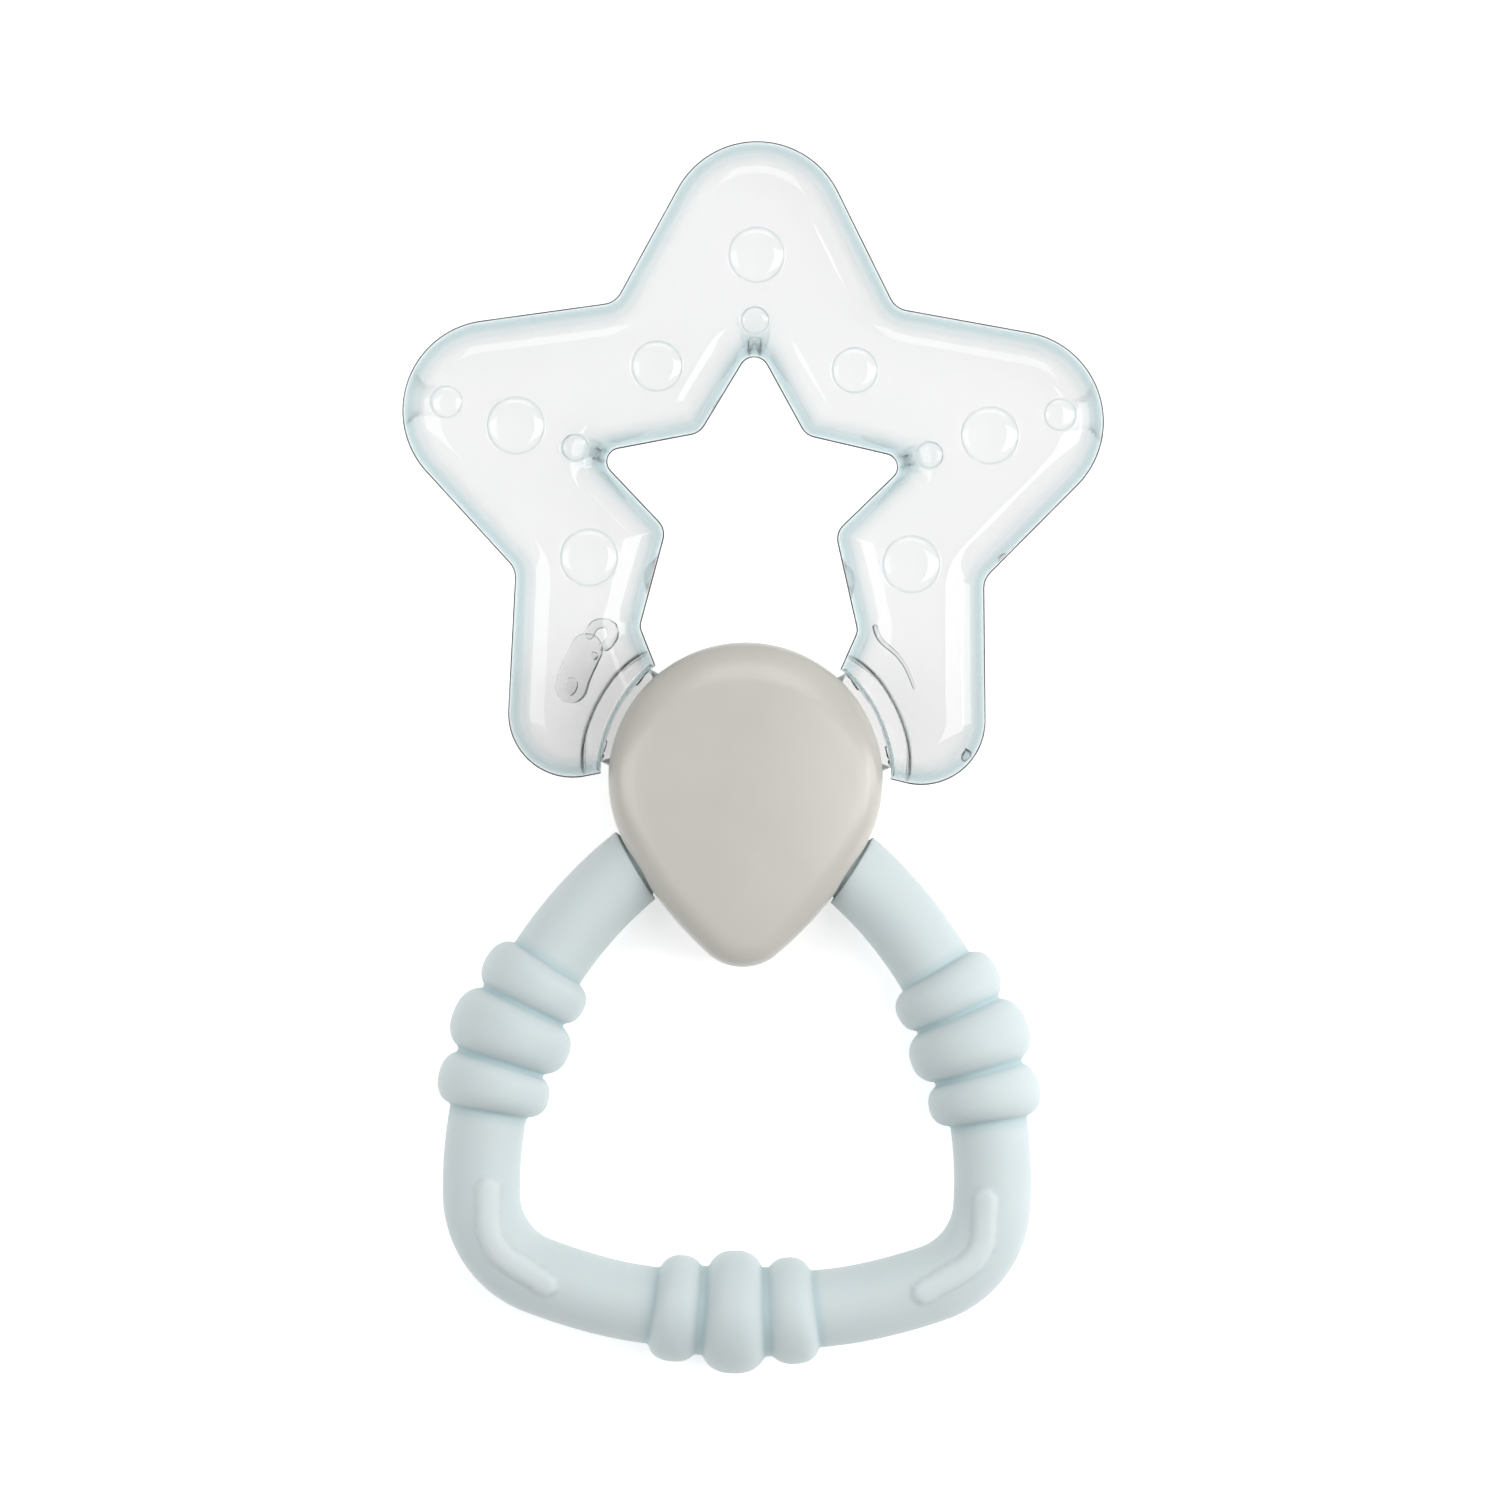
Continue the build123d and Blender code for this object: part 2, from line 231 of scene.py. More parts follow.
def inset_corners(corners, amount):
    """The corners of a closed outline whose straight runs have all moved inward."""
    corners = np.array(corners, float)
    area = signed_area(corners)
    side = 1 if area > 0 else -1
    moved = []
    for i in range(len(corners)):
        before, here, after = corners[i - 1], corners[i], corners[(i + 1) % len(corners)]
        u = unit(here - before)
        v = unit(after - here)
        n = np.array([-u[1], u[0]]) * side
        m = np.array([-v[1], v[0]]) * side
        moved.append(here + (n + m) * amount / (1 + n @ m))
    return np.array(moved)


def signed_area(loop):
    following = np.roll(loop, -1, 0)
    return 0.5 * np.sum(loop[:, 0] * following[:, 1] - following[:, 0] * loop[:, 1])


def turns_inward(corners):
    """Which corners of an outline bulge outward."""
    corners = np.array(corners, float)
    side = 1 if signed_area(corners) > 0 else -1
    u = corners - np.roll(corners, 1, 0)
    v = np.roll(corners, -1, 0) - corners
    return side * (u[:, 0] * v[:, 1] - u[:, 1] * v[:, 0]) > 0


def inset_radii(corners, radii, amount):
    return [max(0.15, r - amount) if out else r + amount for r, out in zip(radii, turns_inward(corners))]


def depth(points, loop):
    """Distance from points to a closed loop, above zero inside it."""
    a = loop
    ab = np.roll(loop, -1, 0) - loop
    length2 = np.maximum((ab**2).sum(1), 1e-12)
    result = np.empty(len(points))
    for first in range(0, len(points), 2000):
        p = points[first : first + 2000]
        ap = p[:, None, :] - a[None]
        t = np.clip((ap * ab[None]).sum(2) / length2, 0, 1)
        d2 = ((ap - t[..., None] * ab[None]) ** 2).sum(2).min(1)
        crosses = (a[None, :, 1] > p[:, None, 1]) != ((a + ab)[None, :, 1] > p[:, None, 1])
        rise = np.where(ab[:, 1] == 0, 1e-12, ab[:, 1])
        at_x = a[None, :, 0] + (p[:, None, 1] - a[None, :, 1]) * ab[None, :, 0] / rise
        inside = (crosses & (p[:, None, 0] < at_x)).sum(1) % 2 == 1
        result[first : first + 2000] = np.sqrt(d2) * np.where(inside, 1, -1)
    return result


def mirrored(points):
    return [(-x, y) for x, y in reversed(points)]


def ring_points(loop, insets):
    """Points on rings inside a loop, left out where the rings would cross."""
    side = 1 if signed_area(loop) > 0 else -1
    tangent = np.roll(loop, -1, 0) - np.roll(loop, 1, 0)
    normal = np.stack([-tangent[:, 1], tangent[:, 0]], 1) * side
    normal /= np.linalg.norm(normal, axis=1)[:, None]
    kept = []
    for inset in insets:
        ring = loop + normal * inset
        kept.append(ring[depth(ring, loop) > inset * 0.985])
    return np.vstack(kept)


def grid_points(loop, spacing, margin):
    """A triangular grid inside a loop, no nearer to it than a margin."""
    low, high = loop.min(0), loop.max(0)
    rows = np.arange(low[1], high[1], spacing * math.sqrt(3) / 2)
    columns = np.arange(low[0], high[0], spacing)
    points = np.array([(x + spacing / 2 * (i % 2), y) for i, y in enumerate(rows) for x in columns])
    return points[depth(points, loop) > margin]


def disc_points(x, y, r):
    """Rings of points on and around a round bump."""
    kept = [np.array([(x, y)])]
    for share in (0.25, 0.45, 0.62, 0.76, 0.87, 0.94, 0.98, 1.0, 1.05, 1.15):
        kept.append(arc_points((x, y), r * share, 0, 360, 0.3 if share > 0.6 else 0.5))
    return np.vstack(kept)


def triangulate(loop, points):
    """Triangles over the inside of a loop: points, faces and which points lie on the loop."""
    count = len(loop)
    every = [Vector(p) for p in np.vstack([loop, points])]
    edges = [(i, (i + 1) % count) for i in range(count)]
    flat, _, faces, sources, _, _ = delaunay_2d_cdt(every, edges, [], 1, 1e-5)
    on_loop = np.array([any(s < count for s in ids) for ids in sources])
    return np.array([tuple(p) for p in flat]), [tuple(f) for f in faces], on_loop


# ---- Meshes -------------------------------------------------------------------


def pillow(loop, points, height, under=None):
    """Closed surface between two sheets, mirrored unless told otherwise, that meet on the loop."""
    flat, faces, on_loop = triangulate(loop, points)
    rise = np.where(on_loop, 0, height(flat))
    top = np.column_stack([flat, PARTING_Z + rise])
    below = np.where(on_loop, np.arange(len(flat)), -1)
    below[~on_loop] = len(flat) + np.arange((~on_loop).sum())
    drop = rise if under is None else under(flat)
    bottom = np.column_stack([flat, PARTING_Z - drop])[~on_loop]
    if signed_area(flat[list(faces[0])]) < 0:
        faces = [f[::-1] for f in faces]
    lower_faces = [tuple(below[i] for i in reversed(f)) for f in faces]
    return np.vstack([top, bottom]), faces + lower_faces


def make_object(name, parts, materials, sharp=None):
    """One object from (vertices in mm, faces, material index) parts."""
    vertices = []
    faces = []
    indices = []
    for points, polygons, index in parts:
        first = len(vertices)
        vertices += [tuple(p) for p in np.asarray(points) * MM]
        faces += [tuple(int(i) + first for i in f) for f in polygons]
        indices += [index] * len(polygons)
    mesh = bpy.data.meshes.new(name)
    mesh.from_pydata(vertices, [], faces)
    mesh.polygons.foreach_set("material_index", indices)
    mesh.polygons.foreach_set("use_smooth", [True] * len(faces))
    mesh.update()
    piece = bpy.data.objects.new(name, mesh)
    bpy.context.scene.collection.objects.link(piece)
    for material in materials:
        mesh.materials.append(material)
    if sharp is not None:
        mesh.set_sharp_from_angle(angle=math.radians(sharp))
    return piece


def place(piece, slot, *nodes):
    """Rides on the row's one body and stands for the given CAD nodes."""
    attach(piece, "root")
    if nodes:
        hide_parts(*nodes)


PAINTED_LIGHT = "painted_light"  # vertex values for painted light: 0 in a hollow (painted shade), a half on plain surfaces, 1 on raised ribs (painted highlight)

# ---- Materials ----------------------------------------------------------------


class Nodes:
    """A material's node tree, with short ways to add what every material here needs."""

    def __init__(self, name):
        self.material = bpy.data.materials.new(name)
        self.material.use_nodes = True
        self.tree = self.material.node_tree
        self.tree.nodes.clear()
        self.output = self.add("ShaderNodeOutputMaterial")
        self.shader = self.add("ShaderNodeBsdfPrincipled")
        self.link(self.shader.outputs[0], self.output.inputs["Surface"])
        self.place = self.add("ShaderNodeTexCoord").outputs["Object"]

    def add(self, kind):
        return self.tree.nodes.new(kind)

    def link(self, source, target):
        self.tree.links.new(source, target)

    def set(self, **values):
        for name, value in values.items():
            self.shader.inputs[name.replace("_", " ")].default_value = value

    def noise(self, size_mm, detail=2.0):
        """A noise whose features are about this many millimetres across."""
        node = self.add("ShaderNodeTexNoise")
        node.inputs["Scale"].default_value = 1 / (size_mm * MM)
        node.inputs["Detail"].default_value = detail
        self.link(self.place, node.inputs["Vector"])
        return node.outputs["Fac"]

    def spread(self, source, low, high):
        """A value that runs from low to high with the source."""
        node = self.add("ShaderNodeMapRange")
        node.inputs["From Min"].default_value = 0.3
        node.inputs["From Max"].default_value = 0.7
        node.inputs["To Min"].default_value = low
        node.inputs["To Max"].default_value = high
        self.link(source, node.inputs["Value"])
        return node.outputs["Result"]

    def tint(self, source, first, second):
        """A colour that runs between two with the source."""
        node = self.add("ShaderNodeMix")
        node.data_type = "RGBA"
        node.inputs["A"].default_value = (*first, 1)
        node.inputs["B"].default_value = (*second, 1)
        self.link(source, node.inputs["Factor"])
        return node.outputs["Result"]

    def bump(self, source, depth_mm, strength=1.0, onto=None):
        node = self.add("ShaderNodeBump")
        node.inputs["Strength"].default_value = strength
        node.inputs["Distance"].default_value = depth_mm * MM
        self.link(source, node.inputs["Height"])
        if onto is not None:
            self.link(onto, node.inputs["Normal"])
        return node.outputs["Normal"]

    def clear_shadow(self, colour):
        """Light passes to what lies below, as it does through clear plastic."""
        path = self.add("ShaderNodeLightPath")
        through = self.add("ShaderNodeBsdfTransparent")
        through.inputs["Color"].default_value = (*colour, 1)
        mix = self.add("ShaderNodeMixShader")
        self.link(path.outputs["Is Shadow Ray"], mix.inputs[0])
        self.link(self.shader.outputs[0], mix.inputs[1])
        self.link(through.outputs[0], mix.inputs[2])
        self.link(mix.outputs[0], self.output.inputs["Surface"])


def clear_plastic(name, ior, face_colour, edge_colour, shadow):
    """Clear soft plastic, tinted and darkened where it is seen edge on: partly its own teal tint, partly
    painted shade for the dark outline at its edges.
    """
    m = Nodes(name)
    m.set(Roughness=0.02, IOR=ior, Transmission_Weight=1.0)
    facing = m.add("ShaderNodeLayerWeight")
    facing.inputs["Blend"].default_value = 0.5
    # The ramp runs from the face colour to a darker edge colour as the surface turns edge on: partly the
    # plastic's own tint, partly painted shade.
    ramp = m.add("ShaderNodeValToRGB")
    ramp.color_ramp.interpolation = "EASE"
    for share, colour in ((0.03, face_colour), (0.66, edge_colour)):
        ramp.color_ramp.elements.new(share).color = (*colour, 1)
    ramp.color_ramp.elements[0].color = (*face_colour, 1)
    ramp.color_ramp.elements[-1].color = (*[0.8 * c for c in edge_colour], 1)
    m.link(facing.outputs["Facing"], ramp.inputs["Fac"])
    m.link(ramp.outputs["Color"], m.shader.inputs["Base Color"])
    m.link(m.spread(m.noise(6.0), 0.015, 0.05), m.shader.inputs["Roughness"])
    m.link(m.bump(m.noise(5.0, 1.0), 0.12, 0.12), m.shader.inputs["Normal"])
    m.clear_shadow(shadow)
    return m.material


def joiner_plastic():
    """Satin hard plastic in a warm grey, with a faint moulded grain."""
    m = Nodes("joiner_grey")
    m.set(IOR=1.5, Coat_Weight=0.5, Coat_Roughness=0.22)
    colour = m.tint(m.spread(m.noise(9.0), 0, 1), (0.535, 0.515, 0.470), (0.560, 0.540, 0.495))
    m.link(colour, m.shader.inputs["Base Color"])
    m.link(m.spread(m.noise(2.5), 0.30, 0.38), m.shader.inputs["Roughness"])
    fine = m.bump(m.noise(0.35, 3.0), 0.012, 0.5)
    m.link(m.bump(m.noise(3.0), 0.05, 0.12, fine), m.shader.inputs["Normal"])
    return m.material


def handle_rubber():
    """Soft matte moulding in a pale blue, a little translucent."""
    m = Nodes("handle_blue")
    m.set(IOR=1.45, Subsurface_Weight=0.35, Subsurface_Scale=0.0025)
    m.shader.inputs["Subsurface Radius"].default_value = (0.7, 1.0, 1.1)
    # The ramp paints shade into the hollows between beads and a highlight onto the raised ribs; the
    # middle is the blue's own colour.
    painted_light = m.add("ShaderNodeAttribute")
    painted_light.attribute_name = PAINTED_LIGHT
    ramp = m.add("ShaderNodeValToRGB")
    ramp.color_ramp.elements.new(0.5).color = (0.602, 0.668, 0.676, 1)
    ramp.color_ramp.elements[0].color = (0.430, 0.580, 0.610, 1)
    ramp.color_ramp.elements[-1].color = (0.650, 0.706, 0.706, 1)
    m.link(painted_light.outputs["Fac"], ramp.inputs["Fac"])
    mottle = m.add("ShaderNodeMix")
    mottle.data_type = "RGBA"
    mottle.blend_type = "MULTIPLY"
    mottle.inputs["Factor"].default_value = 1.0
    m.link(ramp.outputs["Color"], mottle.inputs["A"])
    m.link(m.tint(m.spread(m.noise(12.0), 0, 1), (0.97, 0.975, 0.98), (1, 1, 1)), mottle.inputs["B"])
    m.link(mottle.outputs["Result"], m.shader.inputs["Base Color"])
    m.link(m.spread(m.noise(1.5), 0.52, 0.62), m.shader.inputs["Roughness"])
    fine = m.bump(m.noise(0.25, 3.0), 0.015, 0.5)
    m.link(m.bump(m.noise(4.0), 0.06, 0.15, fine), m.shader.inputs["Normal"])
    return m.material


def floor_paint():
    m = Nodes("floor_white")
    m.set(Roughness=0.7, Emission_Strength=0.4)
    m.shader.inputs["Emission Color"].default_value = (1, 1, 1, 1)
    colour = m.tint(m.spread(m.noise(300.0), 0, 1), (0.90, 0.90, 0.90), (0.92, 0.92, 0.92))
    m.link(colour, m.shader.inputs["Base Color"])
    return m.material


# Face and edge colours of the clear plastic; the dark teal edge is partly the plastic's own tint and
# partly painted shade for its dark outline.
PALE = (0.665, 0.648, 0.645)
TEAL = (0.215, 0.325, 0.350)
star_outer_look = clear_plastic("star_clear", 1.46, PALE, TEAL, (0.97, 0.985, 0.985))
star_inner_look = clear_plastic("star_clear_inside", 1.10, (1, 1, 1), (0.78, 0.86, 0.87), (1, 1, 1))
water_look = clear_plastic("water", 1.0, (0.99, 0.99, 0.99), (0.97, 0.98, 0.98), (1, 1, 1))
bubble_look = clear_plastic("air_bubble", 1.30, (1, 1, 1), (0.85, 0.92, 0.93), (1, 1, 1))
joiner_look = joiner_plastic()
handle_look = handle_rubber()


# ---- Star ---------------------------------------------------------------------

joiner_centre = (0.0, JOINER_Y)
star_centre = (0.0, STAR_Y)
end_r = HEAD_R + JOINER_GAP


def star_corners(inset=0.0, end_radius=end_r, tip_radii=None):
    """Corners and radii of the star's body, as one loop round the arms and back round the window."""
    corners, radii = side_corners()
    if inset:
        radii = inset_radii(corners, radii, inset)
        corners = [tuple(c) for c in inset_corners(corners, inset)]
    low, high = LEG_END_RADII
    leg = LEG_PLACE
    right = corners[1:leg]
    start = on_circle(corners[leg - 1], corners[leg], end_radius)
    stop = on_circle(corners[leg + 2], corners[leg + 1], end_radius)
    first, last = [math.degrees(math.atan2(p[1] - JOINER_Y, p[0])) for p in (start, stop)]
    radii[leg - 1] = fitting(corners[leg - 2], corners[leg - 1], start, radii[leg - 1])
    spread = math.radians(last - first) / 2
    middle = polar(joiner_centre, end_radius / math.cos(spread), (first + last) / 2)
    window = corners[leg + 2 : leg + 2 + len(WINDOW_POINTS) - 1]
    window_radii = radii[leg + 2 : leg + 2 + len(WINDOW_POINTS)]
    if tip_radii:
        window_radii[2] = window_radii[4] = tip_radii
    half = [*right, start, middle, stop, *window]
    half_radii = [*radii[1:leg], low, END_ARC * end_radius, high, *window_radii[:-1]]
    tip = corners[leg + 2 + len(WINDOW_POINTS) - 1]
    loop = [corners[0], *half, tip, *mirrored(half)]
    return loop, [radii[0], *half_radii, window_radii[-1], *reversed(half_radii)]


def fitting(before, corner, after, radius):
    """A corner's radius, cut down where its arc would not fit the run after it."""
    u = unit(np.array(before) - corner)
    run = np.array(after) - corner
    half = math.acos(u @ unit(run)) / 2
    return min(radius, 0.9 * np.linalg.norm(run) * math.tan(half))


def on_circle(outside, inside, radius):
    """Where a straight run crosses a circle round the joiner's centre."""
    a = np.array(outside) - joiner_centre
    b = np.array(inside) - joiner_centre
    run = b - a
    half_b, c = a @ run, a @ a - radius**2
    share = (-half_b - math.sqrt(half_b**2 - run @ run * c)) / (run @ run)
    return tuple(a + run * share + joiner_centre)


def side_corners():
    """The same loop with the legs' sides carried on into the joiner, where they end square."""
    apex = ARM_REACH + ARM_R / math.sin(math.radians(ARM_HALF_ANGLE))
    opening = math.radians(ARM_PITCH / 2 + ARM_HALF_ANGLE)
    valley = apex * math.sin(math.radians(ARM_HALF_ANGLE)) / math.sin(opening)
    first, last = [np.array(polar(joiner_centre, end_r, a)) for a in LEG_END_DIRECTIONS]
    corner, window = np.array(LEG_CORNER), np.array(WINDOW_POINTS[0])
    right = [
        polar(star_centre, valley - TOP_SLIM, 90 - ARM_PITCH / 2),
        polar(star_centre, apex, 90 - ARM_PITCH),
        polar(star_centre, valley + LOW_FULL, 90 - 1.5 * ARM_PITCH),
        LEG_CORNER,
        tuple(corner + (first - corner) * 1.8),
        tuple(window + (last - window) * 2.2),
        *WINDOW_POINTS[:-1],
    ]
    radii = [VALLEY_R, ARM_R, VALLEY_R, LEG_END_R, 0.1, 0.1, *WINDOW_RADII[:-1]]
    corners = [polar(star_centre, apex - TOP_DROP, 90), *right, WINDOW_POINTS[-1], *mirrored(right)]
    return corners, [ARM_R, *radii, WINDOW_RADII[-1], *reversed(radii)]


def shoulder(d, width, half, power):
    """Height of a rounded shoulder at a depth d inside the outline."""
    t = np.clip(1 - np.maximum(d, 0) / width, 0, 1)
    return half * (1 - t**power) ** (1 / power)


def ripple(p):
    """The slight waviness of a soft moulding, within a few hundredths of a millimetre."""
    x, y = p[:, 0], p[:, 1]
    return 0.025 * (np.sin(0.42 * x + 1.3) * np.sin(0.37 * y) + np.sin(0.23 * x - 0.31 * y + 0.7))


def bump_rise(p, d, power):
    """Low round bumps, which fade where they reach the shoulder. A higher power is a crisper rim."""
    rise = np.zeros(len(p))
    for x, y, r in BUMPS:
        share = np.hypot(p[:, 0] - x, p[:, 1] - y) / r
        tall = BUMP_HEIGHT * min(1, 0.45 + 0.17 * r)
        rise += tall * np.clip(1 - np.minimum(share, 1) ** power, 0, 1) ** (1 / max(1, power - 1.4))
    return rise * np.clip((d - 1.0) / 2.0, 0, 1)


def quarter_rings(width, power, count):
    """Depths at which a shoulder of this width is cut into even steps of its slope."""
    turns = np.linspace(0, math.pi / 2, count + 1)[1:]
    return width * (1 - np.cos(turns) ** (2 / power))


body_loop = rounded_loop(*star_corners())
side_loop = rounded_loop(*side_corners())


def tongue_depth(p):
    """Depth inside the nearer tongue's outline."""
    along = []
    for angle in (TONGUE_ANGLE, 180 - TONGUE_ANGLE):
        axis = direction(angle)
        q = p - np.array(joiner_centre)
        reach = q @ axis
        across = np.abs(q[:, 0] * axis[1] - q[:, 1] * axis[0])
        lengthwise = np.minimum(reach - TONGUE_REACH, TONGUE_OUT - reach)
        along.append(np.minimum(TONGUE_HALF_WIDTH - across, lengthwise))
    return np.maximum(*along)


def tongue_corners(angle):
    """Where a tongue leaves the leg's end and where it stops inside the joiner."""
    tilt = math.degrees(math.asin(TONGUE_HALF_WIDTH / end_r))
    axis = direction(angle)
    side = np.array([-axis[1], axis[0]]) * TONGUE_HALF_WIDTH
    hidden = np.array(joiner_centre) + axis * TONGUE_REACH
    return [
        polar(joiner_centre, end_r, angle - tilt),
        tuple(hidden - side),
        tuple(hidden + side),
        polar(joiner_centre, end_r, angle + tilt),
    ]


def shell_loop():
    """The star's outline with its two tongues."""
    loop = [tuple(p) for p in body_loop]
    for angle in (TONGUE_ANGLE, 180 - TONGUE_ANGLE):
        root_a, tip_a, tip_b, root_b = tongue_corners(angle)
        towards = [math.hypot(x - joiner_centre[0], y - joiner_centre[1]) for x, y in loop]
        bearing = [math.degrees(math.atan2(y - joiner_centre[1], x)) for x, y in loop]
        low = math.degrees(math.atan2(root_a[1] - joiner_centre[1], root_a[0]))
        high = math.degrees(math.atan2(root_b[1] - joiner_centre[1], root_b[0]))
        covered = [low < b < high and t < end_r + 1.0 for b, t in zip(bearing, towards)]
        first = covered.index(True)
        count = sum(covered)
        ahead = bearing[first + 1] > bearing[first]
        chain = [root_a, tip_a, tip_b, root_b] if ahead else [root_b, tip_b, tip_a, root_a]
        path = [np.array([p]) for p in map(np.array, chain)]
        filled = []
        for i in range(3):
            filled += [path[i], between(path[i][0], path[i + 1][0])]
        filled.append(path[3])
        loop[first : first + count] = [tuple(p) for p in np.vstack(filled)]
    return np.array(loop)


def leg_end(p, radius, width):
    """How far the rounding of a leg's end lowers the surface: none at 1."""
    return shoulder(joiner_distance(p) - radius - END_SLACK, width, 1.0, STAR_POWER)


def joiner_distance(p):
    return np.hypot(p[:, 0], p[:, 1] - JOINER_Y)


def shell_height(p, bump_power=4.4):
    d = depth(p, side_loop)
    body = shoulder(d - SEAM_PROUD, STAR_EDGE, STAR_HALF, STAR_POWER)
    body = np.where(d > 0.5, body + bump_rise(p, d, bump_power) + ripple(p), body)
    body = body * leg_end(p, end_r, END_EDGE)
    seam = shoulder(d, SEAM_PROUD, SEAM_HALF, 2)
    tongue = shoulder(tongue_depth(p), TONGUE_EDGE, TONGUE_HALF, 2)
    inside = (d > 0) & (joiner_distance(p) > end_r)
    leg = np.where(inside, np.maximum(body, seam), 0)
    return np.maximum(leg, np.where(tongue_depth(p) > 0, tongue, 0))


def build_star():
    """The hollow star: an outer skin and the wall of the room inside it."""
    outline = shell_loop()
    rings = [SEAM_PROUD * 0.5, SEAM_PROUD, *(quarter_rings(STAR_EDGE, STAR_POWER, 15) + SEAM_PROUD)]
    inside = np.vstack([ring_points(body_loop, rings), grid_points(body_loop, 0.85, STAR_EDGE + 0.5)])
    for x, y, r in BUMPS:
        inside = inside[np.hypot(inside[:, 0] - x, inside[:, 1] - y) > r * 1.2]
    discs = [disc_points(*bump) for bump in BUMPS]
    tongues = tongue_points(outline)
    inside = inside[(tongue_depth(inside) < -0.1) | (joiner_distance(inside) > end_r + END_EDGE + 0.15)]
    every = np.vstack([inside, tongues, *discs])
    outer = pillow(outline, every, shell_height, lambda p: shell_height(p, BACK_BUMP_POWER))
    return outer, room_surface(STAR_WALL)


def tongue_points(outline):
    """Points on the tongues and up the legs' ends, on circles round the joiner's centre."""
    edge = np.array([0.87, 0.91, 0.95, 0.98, 0.995])
    across = np.concatenate([-edge[::-1], np.linspace(-0.84, 0.84, 33), edge]) * TONGUE_HALF_WIDTH
    hidden = np.arange(TONGUE_REACH + 1.8, end_r - 0.1, 0.45)
    rim = end_r + END_SLACK + quarter_rings(END_EDGE, STAR_POWER, 10)
    kept = []
    for angle in (TONGUE_ANGLE, 180 - TONGUE_ANGLE):
        axis = direction(angle)
        side = np.array([-axis[1], axis[0]])
        for reach in (*hidden, end_r - 0.02, end_r + 0.015, *rim, rim[-1] + 0.12):
            along = np.sqrt(reach**2 - across**2)
            kept.append(np.array(joiner_centre) + along[:, None] * axis + across[:, None] * side)
        tip = np.array(joiner_centre) + (TONGUE_REACH + 0.15) * axis
        kept.append(tip + across[:, None] * side)
    kept = np.vstack(kept)
    return kept[depth(kept, outline) > 0.015]


def room_surface(wall, clearance=0.0):
    """The star's inside at a wall thickness, as a closed surface."""
    inset = wall + clearance
    end = end_r + END_WALL + clearance
    corners, radii = side_corners()
    side = rounded_loop(inset_corners(corners, inset), room_radii(corners, radii, inset))
    loop = rounded_loop(*star_corners(inset, end, ROOM_TIP_R))
    width = STAR_EDGE - wall * 0.55
    half = STAR_HALF - inset
    rings = quarter_rings(width, STAR_POWER, 11)
    points = np.vstack([ring_points(loop, rings), grid_points(loop, 1.1, width + 0.6)])

    def height(p):
        return shoulder(depth(p, side), width, half, STAR_POWER) * leg_end(p, end, END_EDGE)

    return pillow(loop, points, height)


def room_radii(corners, radii, inset):
    """Radii of the room's corners: tight at the window's tips, where the walls run together."""
    radii = inset_radii(corners, radii, inset)
    tip = LEG_PLACE + 2 + 2
    top = LEG_PLACE + 2 + 4
    for place in (tip, top, 2 * top - tip):
        radii[place] = ROOM_TIP_R
    return radii


outer_skin, room_wall = build_star()
room_points, room_faces = room_wall
star_shell = make_object(
    "star_shell",
    [(*outer_skin, 0), (room_points, [f[::-1] for f in room_faces], 1)],
    [star_outer_look, star_inner_look],
)
place(star_shell, "star_clear", "star_front_shell", "star_back_shell")


def softened(spine):
    """A run of points with its corners cut three times over."""
    spine = np.array(spine, float)
    for _ in range(3):
        ahead = spine[:-1] * 0.75 + spine[1:] * 0.25
        behind = spine[:-1] * 0.25 + spine[1:] * 0.75
        inner = np.stack([ahead, behind], 1).reshape(-1, 2)
        spine = np.vstack([spine[:1], inner[1:-1], spine[-1:]])
    return spine


def bubble(spine, half_width, half_height, z, taper=0.0):
    """An air bubble along a curved line, flattened, as a surface that faces into the air."""
    spine = softened(spine)
    run = np.concatenate([[0], np.cumsum(np.hypot(*np.diff(spine, axis=0).T))])
    turns = np.linspace(0, math.pi, 22)
    s = (1 - np.cos(turns)) / 2 * run[-1]
    line = np.column_stack([np.interp(s, run, spine[:, 0]), np.interp(s, run, spine[:, 1])])
    along = np.gradient(line, axis=0)
    across = np.column_stack([-along[:, 1], along[:, 0]])
    across /= np.linalg.norm(across, axis=1)[:, None]
    share = np.clip(s / run[-1], 0, 1)
    cap = min(0.5, half_width / run[-1])
    near_end = np.clip(np.minimum(share, 1 - share) / cap, 0, 1)
    size = np.sqrt(np.clip(1 - (1 - near_end) ** 2, 0, 1)) * (1 - taper * share)
    around = np.linspace(0, 2 * math.pi, 20, endpoint=False)
    points = [(*line[0], z)]
    for (x, y), (u, v), k in list(zip(line, across, size))[1:-1]:
        for a in around:
            w = math.cos(a) * k * half_width
            points.append((x + u * w, y + v * w, z + math.sin(a) * k * half_height))
    points.append((*line[-1], z))
    count = len(around)
    last = len(points) - 1
    faces = []
    for j in range(count):
        k = (j + 1) % count
        faces.append((0, 1 + j, 1 + k))
        faces.append((last, last - count + k, last - count + j))
    for i in range(len(line) - 3):
        for j in range(count):
            k = (j + 1) % count
            p, q = 1 + i * count, 1 + (i + 1) * count
            faces.append((p + j, q + j, q + k, p + k))
    points = np.array(points)
    return points, faces if signed_volume(points, faces) < 0 else [f[::-1] for f in faces]


def signed_volume(points, faces):
    total = 0.0
    for face in faces:
        for i in range(1, len(face) - 1):
            a, b, c = points[face[0]], points[face[i]], points[face[i + 1]]
            total += a @ np.cross(b, c) / 6
    return total


